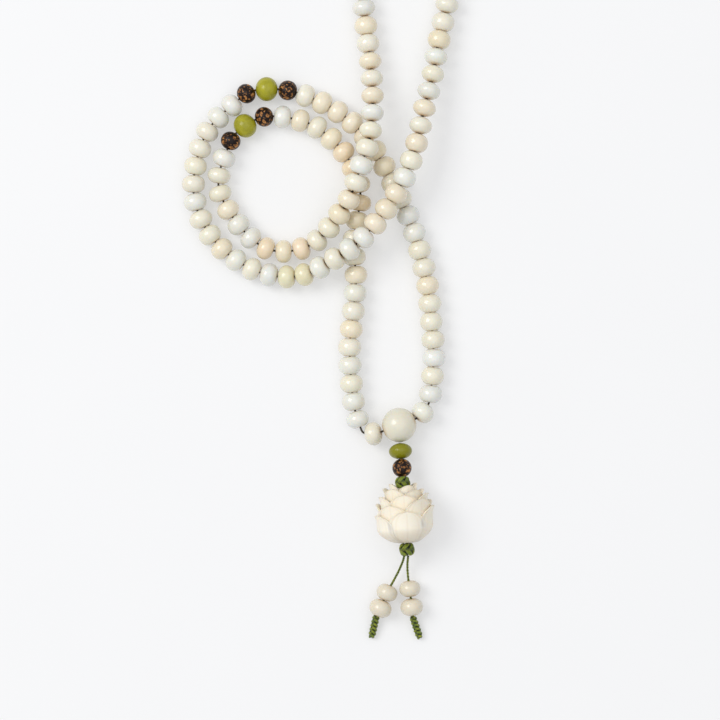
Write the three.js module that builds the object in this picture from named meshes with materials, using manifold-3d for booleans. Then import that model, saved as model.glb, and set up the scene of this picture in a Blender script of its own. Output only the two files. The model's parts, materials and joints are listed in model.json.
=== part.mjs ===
// A string of mala prayer beads laid out flat: 108 counting beads, two marker groups, a guru bead
// with a pendant of spacers, a carved lotus bud, knots and two beaded tails.
// Millimetres, +Z up. The origin is on the surface it lies on, straight under the guru bead.

import * as THREE from 'three';
import { ConvexGeometry } from 'three/addons/geometries/ConvexGeometry.js';
import { mergeVertices } from 'three/addons/utils/BufferGeometryUtils.js';
import Module from 'manifold-3d';

const wasm = await Module();
wasm.setup();

// ---------------------------------------------------------------- driving dimensions

const BEAD_SIDES = 8;
const ROUND_SIDES = 12;
const CORD_SIDES = 8;

const BEAD_RADIUS = 4;
const BORE_RADIUS = 1.05;
const STRING_RADIUS = 0.4;
const CORD_RADIUS = 0.5;
const FIT_GAP = 0.3;

// A turned bead: half its length along the bore, the flat ring round the bore's mouth, its
// greatest radius and half the width of the band that has that radius.
const COUNTING = { half: 2.98, mouth: 1.17, radius: BEAD_RADIUS, band: 1.35 };
const SEED_MARKER = { half: 3.1, mouth: 1.22, radius: 3.4, band: 1.2 };
const GREEN_MARKER = { half: 3.75, mouth: 1.22, radius: 4.15, band: 1.5 };
const GURU = { half: 5.8, mouth: 1.7, radius: 6, band: 1.2, shoulder: 4.55, shoulderAt: 3.9 };
const GREEN_SPACER = { half: 2.5, mouth: 1.6, radius: 4.05, band: 0.6 };
const SEED_SPACER = { half: 3.0, mouth: 1.5, radius: 3.3, band: 1.2 };
const TAIL_UPPER = { half: 2.7, mouth: 1.4, radius: 3.7, band: 1.1 };
const TAIL_LOWER = { half: 2.9, mouth: 1.4, radius: 3.95, band: 1.2 };

const GURU_BORE = 1.3;
const PENDANT_BORE = 1.1;
const PENDANT_BORE_DEPTH = 9;
const GURU_HEIGHT = GURU.radius;
const REST = BEAD_RADIUS;
const STRING_STEP = 4.3;
const STRAND_DIVISIONS = 2400;
const PENDANT_STEPS = 16;

// Bare string that shows beside the guru bead, after its right neighbour and before its left one,
// and the play between two marker beads.
const SPARE = { byGuru: 0.45, afterFirst: 0.85, beforeLast: 2.4, byMarker: 0.14 };

// ---------------------------------------------------------------- the strand's route

// The middle of the string, from the guru bead up the right strand, round the coil's outer turn,
// up to the top of the loop, down again, round the inner turn and down the left strand.
const ROUTE = [
  [0, 0, GURU_HEIGHT],
  [5.2, 1.95, 5.8], [6.8, 2.85, 5.4], [8.6, 4.8, 4.8], [10, 6.8, 4.3], [10.7, 8.8, 4.1],
  [11, 11.4, REST], [12.1, 23.5, REST], [11.2, 35.7, REST], [10, 48, REST],
  [7.3, 60.2, REST], [3.3, 72.5, REST], [-1.9, 83.5, REST], [-7.7, 94.5, REST],
  [-15.5, 104.5, REST], [-25.6, 111.5, REST], [-31.6, 114.2, REST], [-38, 116.3, REST],
  [-45, 116.9, REST], [-52, 115.9, REST], [-57.3, 112, REST], [-66, 103.3, REST],
  [-70.6, 91.3, REST], [-71.2, 78.7, REST], [-66.2, 66.6, REST], [-57, 57.5, REST],
  [-45.7, 52.3, REST], [-34, 52, 5.9], [-22.5, 57.6, 10.6], [-17.1, 61, 12.3],
  [-12.3, 65, 12.6], [-4.9, 74.3, 12.4], [1.7, 85.4, 12.4], [5.8, 97, 12], [8.5, 109, 10.4],
  [11.5, 121, 7.8], [13.7, 133, 5.1], [16.6, 146, REST],
  [17.8, 152.2, REST], [16.6, 159.6, REST], [11.4, 165.8, REST], [2.6, 168.4, REST],
  [-6.2, 165.6, REST], [-11.6, 159.2, REST], [-13.2, 152.2, REST],
  [-12.4, 146, REST], [-11, 134, 4.7], [-9.6, 121.7, 7], [-9.3, 109.4, 10.2],
  [-10.6, 98, 12.9], [-13.3, 89.5, 12.9], [-17.1, 78.8, 12], [-22.6, 70.8, 8.4],
  [-29, 63.8, 5.2], [-34.6, 61.2, REST], [-41, 60.4, REST], [-47.3, 61.9, REST],
  [-56.3, 70.2, REST], [-62.6, 81.7, REST], [-62.4, 88.2, REST], [-60.4, 94.2, REST],
  [-57.7, 100.4, REST], [-53, 104.5, REST], [-47.2, 107.2, REST], [-40.6, 107.2, REST],
  [-34.4, 105.9, REST], [-28.4, 103.4, REST], [-18.6, 94, REST], [-13.6, 82, REST],
  [-13.9, 75.5, REST], [-15.8, 63, REST], [-15, 50.8, REST], [-16, 39, REST],
  [-17.2, 26.8, REST], [-16.6, 14.4, REST], [-15.9, 8.4, REST], [-14.8, 3, 4.1],
  [-13.6, -0.4, 4.2], [-12.7, -2.4, 4.3], [-11.3, -3.1, 4.5], [-9.3, -3.1, 4.8],
  [-7.2, -2.7, 5.3], [-5.2, -1.95, 5.8],
].map(([x, y, z]) => new THREE.Vector3(x, y, z));

const strand = new THREE.CatmullRomCurve3(ROUTE, true, 'centripetal');
strand.arcLengthDivisions = STRAND_DIVISIONS;

// ---------------------------------------------------------------- the pendant's places

const at = (x, y, z) => new THREE.Vector3(x, y, z);

// The pendant's cord from the guru bead to the lower knot, and the way that its pieces face.
const PENDANT_ROUTE = [
  at(0.3, -6.3, 6.3), at(0.45, -8.9, 6.8), at(0.95, -14.8, 8), at(1.2, -19.9, 9.1),
  at(1.55, -24, 10), at(1.85, -31, 10.2), at(2.2, -38, 10.1), at(2.6, -42.6, 9.3),
];
const GURU_LINE = at(1, 0.37, 0);
const PENDANT_UP = at(-0.06, 1, 0);
const PENDANT_SLOPE = at(-0.08, 1, -0.2);
const LOTUS_UP = at(-0.05, 1, 0);
const GREEN_SPACER_PLACE = at(0.45, -9.05, 6.8);
const SEED_SPACER_PLACE = at(0.95, -14.85, 8);
const UPPER_KNOT_PLACE = at(1.2, -19.95, 9.15);
const LOTUS_PLACE = at(2.3, -40.5, 10.2);
const LOWER_KNOT_PLACE = at(2.65, -43, 9);

// Outlines of (radius, distance): the knots, the bulb of the lotus bud and a tail's end wrap.
const KNOT_BORE = 1.05;
const UPPER_KNOT = [
  [1.6, -1.9], [2.7, -1.2], [2.7, -0.4], [1.9, 0], [2.5, 0.5], [2.5, 1.2], [1.6, 1.8],
  [KNOT_BORE, 1.8], [KNOT_BORE, -1.9],
];
const LOWER_KNOT = [
  [1.7, -2], [2.75, -1], [2.75, 0.9], [1.7, 1.9], [KNOT_BORE, 1.9], [KNOT_BORE, -2],
];
const BULB = [
  [1.9, 0], [5.4, 0.7], [7.9, 3.2], [8.6, 6.5], [8.2, 11], [6.4, 15], [3.2, 18.2], [1.6, 18.4],
  [1.3, 18.4], [1.3, 0],
];
const PETALS_PER_ROW = 6;
const PETAL_HOLLOW = 0.2;
const PETAL_HEEL = 1;
const PETAL_ROWS = [
  { foot: 1.4, tip: 11.4, footRadius: 6, tipRadius: 10, width: 9.8, thick: 1 },
  { foot: 5, tip: 14.4, footRadius: 8, tipRadius: 9.6, width: 8.8, thick: 1 },
  { foot: 8.5, tip: 17.4, footRadius: 7.6, tipRadius: 8, width: 7.4, thick: 0.9 },
  { foot: 12, tip: 19.6, footRadius: 6.4, tipRadius: 5.9, width: 5.4, thick: 0.8 },
];
const WRAP_BORE = 0.85;
const END_WRAP = [
  [1.1, -3.8], [1.4, -3.2], [1.4, 3.3], [1, 3.8], [WRAP_BORE, 3.8], [WRAP_BORE, -3.8],
];

// Each tail: its cord's route from the lower knot, its two beads, its end wrap and their lines.
const TAIL_RADIUS = 0.48;
const TAIL_STEPS = 14;
const TAILS = {
  left: {
    route: [
      at(1.75, -45.4, 7.6), at(1.5, -46.5, 6.5), at(1.1, -47.9, 5), at(0.5, -49.4, 4),
      at(-0.3, -51.2, 3.72), at(-2, -54.4, 3.7), at(-4.2, -58.4, 3.7),
      at(-6.4, -63.6, 3.75), at(-7.8, -66.8, 3.3), at(-8.5, -69.2, 2.5), at(-9.42, -73.4, 1.45),
    ],
    upper: at(-4.2, -58.4, 3.7), lower: at(-6.45, -63.8, 3.95), line: at(0.41, 1, 0),
    wrap: at(-8.75, -70.3, 2.1), wrapLine: at(0.22, 1, 0.22),
  },
  right: {
    route: [
      at(3.1, -45.4, 7.6), at(3, -46.6, 6.5), at(2.9, -48, 5), at(2.9, -49.6, 4.05),
      at(3, -51.4, 3.75), at(3.3, -54.4, 3.7), at(3.75, -57, 3.75),
      at(4.4, -63.4, 3.9), at(5, -67, 3.3), at(5.7, -69.5, 2.4), at(7.1, -73.75, 1.42),
    ],
    upper: at(3.75, -57, 3.75), lower: at(4.4, -63.4, 3.95), line: at(-0.1, 1, 0),
    wrap: at(6, -70.6, 2.1), wrapLine: at(-0.34, 1, 0.22),
  },
};

// ---------------------------------------------------------------- frames and turned shapes

const UP = new THREE.Vector3(0, 0, 1);

// A frame on a line: +Y runs along it, +Z is as near to upright as the line allows.
function frameAt(position, direction) {
  const along = direction.clone().normalize();
  const up = UP.clone().addScaledVector(along, -UP.dot(along)).normalize();
  const side = new THREE.Vector3().crossVectors(along, up);
  return new THREE.Matrix4().makeBasis(side, along, up).setPosition(position);
}

// A closed outline of (radius, distance) points turned about +Y. A flat side faces +Z and -Z, and
// each flat's middle stands at the outline's radius.
function turned(outline, sides) {
  const stretch = 1 / Math.cos(Math.PI / sides);
  const points = outline.map(([r, y]) => new THREE.Vector2(r * stretch, y));
  points.push(points[0].clone());
  return new THREE.LatheGeometry(points, sides, Math.PI / sides, 2 * Math.PI);
}

// The outline of a bead: up its outside, then back through its bore.
function beadOutline(bead, bore = BORE_RADIUS) {
  return [
    [bead.mouth, -bead.half], [bead.radius, -bead.band],
    [bead.radius, bead.band], [bead.mouth, bead.half],
    [bore, bead.half], [bore, -bead.half],
  ];
}

// ---------------------------------------------------------------- joining and cutting

function toSolid(geometry) {
  const bare = geometry.clone();
  bare.deleteAttribute('normal');
  bare.deleteAttribute('uv');
  const merged = mergeVertices(bare, 1e-4);
  return new wasm.Manifold(new wasm.Mesh({
    numProp: 3,
    vertProperties: new Float32Array(merged.attributes.position.array),
    triVerts: new Uint32Array(merged.index.array),
  }));
}

function toGeometry(solid) {
  const mesh = solid.getMesh();
  const geometry = new THREE.BufferGeometry();
  geometry.setAttribute('position', new THREE.BufferAttribute(mesh.vertProperties, 3));
  geometry.setIndex(new THREE.BufferAttribute(mesh.triVerts, 1));
  geometry.computeVertexNormals();
  return geometry;
}

// ---------------------------------------------------------------- materials

const material = (color, roughness) =>
  new THREE.MeshStandardMaterial({ color, roughness, metalness: 0 });
const ivory = material(0xf1ead8, 0.32);
const pearl = material(0xf3ecd2, 0.3);
const olive = material(0x8e9a1e, 0.28);
const seed = material(0x4a2a16, 0.4);
const string = material(0x1d1712, 0.8);
const braid = material(0x5f8a12, 0.75);
const carved = material(0xf2ead6, 0.4);

// ---------------------------------------------------------------- assembly

const mala = new THREE.Group();

function addPiece(name, geometry, finish, frame) {
  const mesh = new THREE.Mesh(geometry, finish);
  mesh.name = name;
  if (frame) frame.decompose(mesh.position, mesh.quaternion, mesh.scale);
  mala.add(mesh);
}

// ---------------------------------------------------------------- beads along the strand

// The order of the strand from the guru bead's right side round to its left side. spare is the
// length of bare string that shows after a bead, beyond the small gap that every pair has.
const order = [];

function thread(name, bead, finish, count = 1, spare = 0) {
  order.push({ name, bead, finish, count, spare });
}

function threadRuns(side, sizes, spare = 0) {
  sizes.forEach((count, i) => {
    const last = i === sizes.length - 1;
    thread(`${side}_beads_${i + 1}`, COUNTING, ivory, count, last ? spare : 0);
  });
}

function threadMarkers(side) {
  thread(`${side}_marker_seed_1`, SEED_MARKER, seed, 1, SPARE.byMarker);
  thread(`${side}_marker_green`, GREEN_MARKER, olive, 1, SPARE.byMarker);
  thread(`${side}_marker_seed_2`, SEED_MARKER, seed);
}

thread('right_guru_side_bead', COUNTING, ivory, 1, SPARE.afterFirst);
threadRuns('right_strand', [4, 4, 4, 4, 3]);
thread('right_marker_side_bead', COUNTING, ivory);
threadMarkers('right');
thread('outer_turn_first_bead', COUNTING, ivory);
threadRuns('outer_turn', [5, 4, 4, 4, 4, 4]);
[1, 2, 3].forEach((i) => thread(`right_lift_bead_${i}`, COUNTING, ivory));
thread('loop_right_beads', COUNTING, ivory, 4);
threadRuns('loop_top', [5, 4]);
thread('loop_left_beads', COUNTING, ivory, 4);
[3, 2, 1].forEach((i) => thread(`left_lift_bead_${i}`, COUNTING, ivory));
threadRuns('inner_turn', [4, 4, 4, 4]);
thread('inner_turn_last_bead', COUNTING, ivory);
threadMarkers('left');
thread('left_marker_side_bead', COUNTING, ivory);
threadRuns('left_strand', [3, 4, 4, 4, 4], SPARE.beforeLast);
thread('left_guru_side_bead', COUNTING, ivory);

const beadLengths = order.reduce((sum, { bead, count }) => sum + 2 * bead.half * count, 0);
const spareLengths = order.reduce((sum, { spare }) => sum + spare, 2 * SPARE.byGuru);
const beadCount = order.reduce((sum, { count }) => sum + count, 0);
const strandLength = strand.getLength();
const beadGap = (strandLength - beadLengths - spareLengths - 2 * GURU.half) / (beadCount + 1);

// The frame of the strand at a distance along its string from the middle of the guru bead, lifted
// where the bead would otherwise reach below the surface that it lies on.
function frameOnStrand(distance, { radius, band }) {
  const share = distance / strandLength;
  const place = strand.getPointAt(share);
  const along = strand.getTangentAt(share);
  const depth = radius * Math.hypot(along.x, along.y) + band * Math.abs(along.z);
  place.z = Math.max(place.z, depth);
  return frameAt(place, along);
}

// Beads side by side as one piece, turned straight and then bent along the strand: each ring of
// the turning goes to the frame of its own bead, or of the joint between two beads.
function bentRun(bead, middles) {
  const pitch = 2 * bead.half + beadGap;
  const outside = [[bead.mouth, -bead.half]];
  const bore = [];
  const frames = [];
  middles.forEach((middle, i) => {
    const station = i * pitch;
    frames.push({ station, frame: frameOnStrand(middle, bead) });
    outside.push([bead.radius, station - bead.band], [bead.radius, station + bead.band]);
    if (i < middles.length - 1) {
      const joint = station + pitch / 2;
      frames.push({ station: joint, frame: frameOnStrand(middle + pitch / 2, bead) });
      outside.push([bead.mouth, joint]);
      bore.unshift([BORE_RADIUS, joint]);
    } else {
      outside.push([bead.mouth, station + bead.half]);
      bore.unshift([BORE_RADIUS, station + bead.half]);
    }
  });
  bore.push([BORE_RADIUS, -bead.half]);

  const geometry = turned([...outside, ...bore], BEAD_SIDES);
  const points = geometry.attributes.position;
  const point = new THREE.Vector3();
  for (let i = 0; i < points.count; i += 1) {
    point.fromBufferAttribute(points, i);
    const nearest = frames.reduce((best, each) => (
      Math.abs(each.station - point.y) < Math.abs(best.station - point.y) ? each : best
    ));
    point.y -= nearest.station;
    point.applyMatrix4(nearest.frame);
    points.setXYZ(i, point.x, point.y, point.z);
  }
  return geometry;
}

const middleOf = {};
let reached = GURU.half + SPARE.byGuru + beadGap;
for (const { name, bead, finish, count, spare } of order) {
  const middles = [];
  for (let i = 0; i < count; i += 1) {
    middles.push(reached + bead.half);
    reached += 2 * bead.half + beadGap;
  }
  reached += spare;
  middleOf[name] = middles;
  if (count === 1) {
    addPiece(name, turned(beadOutline(bead), BEAD_SIDES), finish, frameOnStrand(middles[0], bead));
  } else {
    addPiece(name, bentRun(bead, middles), finish);
  }
}

// ---------------------------------------------------------------- guru bead

// Bored across for the string, and from its middle down to the pendant.
const guruFrame = frameAt(ROUTE[0], GURU_LINE);
const pendantHole = turned([
  [0, 0], [PENDANT_BORE, 0], [PENDANT_BORE, -PENDANT_BORE_DEPTH], [0, -PENDANT_BORE_DEPTH],
], BEAD_SIDES);
pendantHole.applyMatrix4(guruFrame.clone().invert().multiply(
  frameAt(ROUTE[0], PENDANT_UP),
));
const guru = toSolid(turned([
  [GURU.mouth, -GURU.half], [GURU.shoulder, -GURU.shoulderAt], [GURU.radius, -GURU.band],
  [GURU.radius, GURU.band], [GURU.shoulder, GURU.shoulderAt], [GURU.mouth, GURU.half],
  [GURU_BORE, GURU.half], [GURU_BORE, -GURU.half],
], ROUND_SIDES)).subtract(toSolid(pendantHole));
addPiece('guru_bead', toGeometry(guru), pearl, guruFrame);

// ---------------------------------------------------------------- strings and cords

// A stretch of a curve, from one share of its length to another.
class Stretch extends THREE.Curve {
  constructor(curve, from, to) {
    super();
    Object.assign(this, { curve, from, to });
  }

  getPoint(t, target = new THREE.Vector3()) {
    return this.curve.getPointAt(THREE.MathUtils.lerp(this.from, this.to, t) % 1, target);
  }
}

function tube(path, radius, steps) {
  const section = new THREE.Shape();
  for (let i = 0; i < CORD_SIDES; i += 1) {
    const angle = (2 * Math.PI * i) / CORD_SIDES;
    const point = [radius * Math.cos(angle), radius * Math.sin(angle)];
    if (i === 0) section.moveTo(...point);
    else section.lineTo(...point);
  }
  section.closePath();
  return new THREE.ExtrudeGeometry(section, { steps, extrudePath: path, bevelEnabled: false });
}

// The string is one loop. It is cut here where the loop's lift begins, on both strands.
const halfJoint = COUNTING.half + beadGap / 2;
const liftRight = middleOf.right_lift_bead_1[0] - halfJoint;
const liftLeft = middleOf.left_lift_bead_1[0] + halfJoint;

function stringBetween(from, to) {
  const start = (from + FIT_GAP / 2) / strandLength;
  const end = (to - FIT_GAP / 2) / strandLength;
  const steps = Math.round((to - from) / STRING_STEP);
  return tube(new Stretch(strand, start, end), STRING_RADIUS, steps);
}
addPiece('loop_string', stringBetween(liftRight, liftLeft), string);
addPiece('stringing_cord', stringBetween(liftLeft, liftRight + strandLength), string);

const pendantPath = new THREE.CatmullRomCurve3(PENDANT_ROUTE, false, 'centripetal');
addPiece('pendant_cord', tube(pendantPath, CORD_RADIUS, PENDANT_STEPS), braid);

// ---------------------------------------------------------------- pendant

function addTurned(name, outline, sides, finish, place, direction) {
  addPiece(name, turned(outline, sides), finish, frameAt(place, direction));
}

addTurned('green_spacer', beadOutline(GREEN_SPACER), ROUND_SIDES, olive,
  GREEN_SPACER_PLACE, PENDANT_SLOPE);
addTurned('seed_spacer', beadOutline(SEED_SPACER), ROUND_SIDES, seed,
  SEED_SPACER_PLACE, PENDANT_SLOPE);
addTurned('upper_knot', UPPER_KNOT, ROUND_SIDES, braid, UPPER_KNOT_PLACE, PENDANT_SLOPE);
addTurned('lower_knot', LOWER_KNOT, ROUND_SIDES, braid, LOWER_KNOT_PLACE, LOTUS_UP);

// The lotus bud: a bored bulb, with rows of pointed petals that each lean out from it.
const bulb = toSolid(turned(BULB, ROUND_SIDES));

function petal({ foot, tip, footRadius, tipRadius, width, thick }, turn) {
  const belly = (foot + tip) / 2;
  const bellyRadius = Math.max(footRadius, tipRadius) - PETAL_HOLLOW;
  const heel = foot + PETAL_HEEL;
  const corners = [
    [0, foot, footRadius], [-width / 2, belly, bellyRadius - thick],
    [width / 2, belly, bellyRadius - thick], [0, belly, bellyRadius],
    [0, tip, tipRadius], [0, tip, tipRadius - thick / 2],
    [-width / 3, heel, footRadius - thick], [width / 3, heel, footRadius - thick],
    [0, belly, bellyRadius - 2 * thick],
  ].map(([x, y, z]) => new THREE.Vector3(x, y, z));
  return toSolid(new ConvexGeometry(corners).rotateY(turn));
}

let lotus = bulb;
PETAL_ROWS.forEach((row, level) => {
  for (let i = 0; i < PETALS_PER_ROW; i += 1) {
    const turn = (2 * Math.PI * (i + (level % 2) / 2)) / PETALS_PER_ROW;
    lotus = lotus.add(petal(row, turn));
  }
});
addPiece('lotus_bead', toGeometry(lotus), carved, frameAt(LOTUS_PLACE, LOTUS_UP));

// ---------------------------------------------------------------- tails

for (const [side, tail] of Object.entries(TAILS)) {
  const path = new THREE.CatmullRomCurve3(tail.route, false, 'centripetal');
  addPiece(`tail_cord_${side}`, tube(path, TAIL_RADIUS, TAIL_STEPS), braid);
  addTurned(`tail_bead_${side}_upper`, beadOutline(TAIL_UPPER), BEAD_SIDES, pearl,
    tail.upper, tail.line);
  addTurned(`tail_bead_${side}_lower`, beadOutline(TAIL_LOWER), BEAD_SIDES, pearl,
    tail.lower, tail.line);
  addTurned(`end_wrap_${side}`, END_WRAP, BEAD_SIDES, braid, tail.wrap, tail.wrapLine);
}

export default mala;
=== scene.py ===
"""The looks of a string of mala prayer beads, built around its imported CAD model.

Every size below is in millimetres, in the CAD model's own frame: +Z is up, the origin is on the
surface, straight under the guru bead. Meshes are scaled to metres where they become objects.
"""

import json
import math
import random

import bpy
import numpy as np
from mathutils import Matrix, Vector


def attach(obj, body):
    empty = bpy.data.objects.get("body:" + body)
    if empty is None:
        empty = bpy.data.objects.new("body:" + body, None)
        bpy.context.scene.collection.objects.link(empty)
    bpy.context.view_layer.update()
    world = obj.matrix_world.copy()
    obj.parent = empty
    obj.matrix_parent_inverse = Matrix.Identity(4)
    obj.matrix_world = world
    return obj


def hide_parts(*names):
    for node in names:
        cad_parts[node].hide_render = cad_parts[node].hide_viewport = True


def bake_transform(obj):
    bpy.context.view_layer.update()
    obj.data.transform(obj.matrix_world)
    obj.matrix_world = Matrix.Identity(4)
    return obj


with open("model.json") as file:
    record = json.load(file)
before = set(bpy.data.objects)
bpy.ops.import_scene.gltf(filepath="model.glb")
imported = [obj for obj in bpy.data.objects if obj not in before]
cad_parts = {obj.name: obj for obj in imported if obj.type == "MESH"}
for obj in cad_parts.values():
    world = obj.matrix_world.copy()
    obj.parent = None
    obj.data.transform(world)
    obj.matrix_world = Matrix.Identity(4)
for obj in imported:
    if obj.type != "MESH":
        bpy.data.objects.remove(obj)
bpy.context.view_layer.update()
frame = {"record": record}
body_of_node = {
    node: body
    for body, nodes in frame["record"]["behaviour"]["bodies"].items()
    for node in nodes
}

MM = 0.001
FULL = 2 * math.pi

# ------------------------------------------------------------------ sizes of the strand

BEAD_RADIUS = 4.0
COUNTING = {"half": 2.98, "radius": BEAD_RADIUS, "band": 1.35}
SEED_MARKER = {"half": 3.1, "radius": 3.4, "band": 1.2}
GREEN_MARKER = {"half": 3.75, "radius": 4.15, "band": 1.5}
GURU_HALF = 5.8
GURU_RADIUS = 6.0
STRING_RADIUS = 0.4
SPARE_BY_GURU, SPARE_AFTER_FIRST, SPARE_BEFORE_LAST = 0.45, 0.85, 2.4
SPARE_BY_MARKER = 0.14

# The middle of the string, from the guru bead up the right strand, round the coil's outer turn,
# up to the top of the loop, down again, round the inner turn and down the left strand.
ROUTE = [
    (0, 0, 6), (5.2, 1.95, 5.8), (6.8, 2.85, 5.4), (8.6, 4.8, 4.8), (10, 6.8, 4.3),
    (10.7, 8.8, 4.1), (11, 11.4, 4), (12.1, 23.5, 4), (11.2, 35.7, 4), (10, 48, 4),
    (7.3, 60.2, 4), (3.3, 72.5, 4), (-1.9, 83.5, 4), (-7.7, 94.5, 4), (-15.5, 104.5, 4),
    (-25.6, 111.5, 4), (-31.6, 114.2, 4), (-38, 116.3, 4), (-45, 116.9, 4), (-52, 115.9, 4),
    (-57.3, 112, 4), (-66, 103.3, 4), (-70.6, 91.3, 4), (-71.2, 78.7, 4), (-66.2, 66.6, 4),
    (-57, 57.5, 4), (-45.7, 52.3, 4), (-34, 52, 5.9), (-22.5, 57.6, 10.6), (-17.1, 61, 12.3),
    (-12.3, 65, 12.6), (-4.9, 74.3, 12.4), (1.7, 85.4, 12.4), (5.8, 97, 12), (8.5, 109, 10.4),
    (11.5, 121, 7.8), (13.7, 133, 5.1), (16.6, 146, 4), (17.8, 152.2, 4), (16.6, 159.6, 4),
    (11.4, 165.8, 4), (2.6, 168.4, 4), (-6.2, 165.6, 4), (-11.6, 159.2, 4), (-13.2, 152.2, 4),
    (-12.4, 146, 4), (-11, 134, 4.7), (-9.6, 121.7, 7), (-9.3, 109.4, 10.2), (-10.6, 98, 12.9),
    (-13.3, 89.5, 12.9), (-17.1, 78.8, 12), (-22.6, 70.8, 8.4), (-29, 63.8, 5.2),
    (-34.6, 61.2, 4), (-41, 60.4, 4), (-47.3, 61.9, 4), (-56.3, 70.2, 4), (-62.6, 81.7, 4),
    (-62.4, 88.2, 4), (-60.4, 94.2, 4), (-57.7, 100.4, 4), (-53, 104.5, 4), (-47.2, 107.2, 4),
    (-40.6, 107.2, 4), (-34.4, 105.9, 4), (-28.4, 103.4, 4), (-18.6, 94, 4), (-13.6, 82, 4),
    (-13.9, 75.5, 4), (-15.8, 63, 4), (-15, 50.8, 4), (-16, 39, 4), (-17.2, 26.8, 4),
    (-16.6, 14.4, 4), (-15.9, 8.4, 4), (-14.8, 3, 4.1), (-13.6, -0.4, 4.2), (-12.7, -2.4, 4.3),
    (-11.3, -3.1, 4.5), (-9.3, -3.1, 4.8), (-7.2, -2.7, 5.3), (-5.2, -1.95, 5.8),
]

# ------------------------------------------------------------------ the pendant's places

PENDANT_ROUTE = [
    (0.3, -6.3, 6.3), (0.45, -8.9, 6.8), (0.95, -14.8, 8), (1.2, -19.9, 9.1),
    (1.55, -24, 10), (1.85, -31, 10.2), (2.2, -38, 10.1), (2.6, -42.6, 9.3),
]
GURU_LINE = (1, 0.37, 0)
PENDANT_SLOPE = (-0.08, 1, -0.2)
LOTUS_UP = (-0.05, 1, 0)
GREEN_SPACER_PLACE = (0.45, -9.05, 6.8)
SEED_SPACER_PLACE = (0.95, -14.85, 8)
UPPER_KNOT_PLACE = (1.2, -19.95, 9.15)
LOTUS_PLACE = (2.3, -40.5, 10.2)
LOWER_KNOT_PLACE = (2.65, -43, 9)

TAIL_RADIUS = 0.48
TAILS = {
    "left": {
        "route": [
            (1.75, -45.4, 7.6), (1.5, -46.5, 6.5), (1.1, -47.9, 5), (0.5, -49.4, 4),
            (-0.3, -51.2, 3.72), (-2, -54.4, 3.7), (-4.2, -58.4, 3.7),
            (-6.4, -63.6, 3.75), (-7.8, -66.8, 3.3), (-8.5, -69.2, 2.5), (-9.42, -73.4, 1.45),
        ],
        "upper": (-4.2, -58.4, 3.7), "lower": (-6.45, -63.8, 3.95), "line": (0.41, 1, 0),
        "wrap": (-8.75, -70.3, 2.1), "wrap_line": (0.22, 1, 0.22),
    },
    "right": {
        "route": [
            (3.1, -45.4, 7.6), (3, -46.6, 6.5), (2.9, -48, 5), (2.9, -49.6, 4.05),
            (3, -51.4, 3.75), (3.3, -54.4, 3.7), (3.75, -57, 3.75),
            (4.4, -63.4, 3.9), (5, -67, 3.3), (5.7, -69.5, 2.4), (7.1, -73.75, 1.42),
        ],
        "upper": (3.75, -57, 3.75), "lower": (4.4, -63.4, 3.95), "line": (-0.1, 1, 0),
        "wrap": (6, -70.6, 2.1), "wrap_line": (-0.34, 1, 0.22),
    },
}

# ------------------------------------------------------------------ routes and frames


class Route:
    """A centripetal Catmull-Rom curve through points, read by distance along it."""

    DIVISIONS = 2400

    def __init__(self, points, closed):
        self.points = np.array(points, float)
        self.closed = closed
        self.shares = np.linspace(0, 1, self.DIVISIONS + 1)
        samples = np.array([self.at_share(t)[0] for t in self.shares])
        chords = np.linalg.norm(np.diff(samples, axis=0), axis=1)
        self.reached = np.concatenate([[0], np.cumsum(chords)])
        self.length = self.reached[-1]

    def four(self, index):
        """The point before a span, its two ends, and the point after it."""
        p, n = self.points, len(self.points)
        if self.closed:
            return p[(index - 1) % n], p[index % n], p[(index + 1) % n], p[(index + 2) % n]
        before = p[index - 1] if index > 0 else 2 * p[0] - p[1]
        after = p[index + 2] if index + 2 < n else 2 * p[n - 1] - p[n - 2]
        return before, p[index], p[index + 1], after

    def at_share(self, share):
        """The place and the direction at a share of the curve's parameter."""
        spans = len(self.points) if self.closed else len(self.points) - 1
        reach = share * spans
        index = min(int(math.floor(reach)), spans - 1)
        w = reach - index
        x0, x1, x2, x3 = self.four(index)
        d0, d1, d2 = (
            math.sqrt(np.linalg.norm(b - a)) for a, b in ((x0, x1), (x1, x2), (x2, x3))
        )
        t1 = ((x1 - x0) / d0 - (x2 - x0) / (d0 + d1) + (x2 - x1) / d1) * d1
        t2 = ((x2 - x1) / d1 - (x3 - x1) / (d1 + d2) + (x3 - x2) / d2) * d1
        c2 = -3 * x1 + 3 * x2 - 2 * t1 - t2
        c3 = 2 * x1 - 2 * x2 + t1 + t2
        return x1 + w * (t1 + w * (c2 + w * c3)), t1 + w * (2 * c2 + 3 * w * c3)

    def at(self, distance):
        """The place and the unit direction at a distance along the curve."""
        if self.closed:
            distance %= self.length
        place, direction = self.at_share(np.interp(distance, self.reached, self.shares))
        return place, direction / np.linalg.norm(direction)

    def stretch(self, start, end, step):
        """Evenly spaced distances from start to end, about step apart, and their places."""
        count = max(2, int(round((end - start) / step)) + 1)
        distances = np.linspace(start, end, count)
        return distances, np.array([self.at(d)[0] for d in distances])


def frame_at(place, direction):
    """+Y runs along direction, and +Z is as near to upright as that allows."""
    along = Vector(direction).normalized()
    up = (Vector((0, 0, 1)) - along * along.z).normalized()
    side = along.cross(up)
    basis = Matrix((side, along, up)).transposed().to_4x4()
    basis.translation = Vector(place) * MM
    return basis


# ------------------------------------------------------------------ meshes


def facing_out(points, faces):
    """The faces of a closed surface, turned over if they face inwards."""
    points = np.asarray(points)
    volume = 0.0
    for face in faces:
        a = points[face[0]]
        for i in range(1, len(face) - 1):
            volume += np.dot(a, np.cross(points[face[i]], points[face[i + 1]]))
    return faces if volume > 0 else [tuple(reversed(face)) for face in faces]


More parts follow.
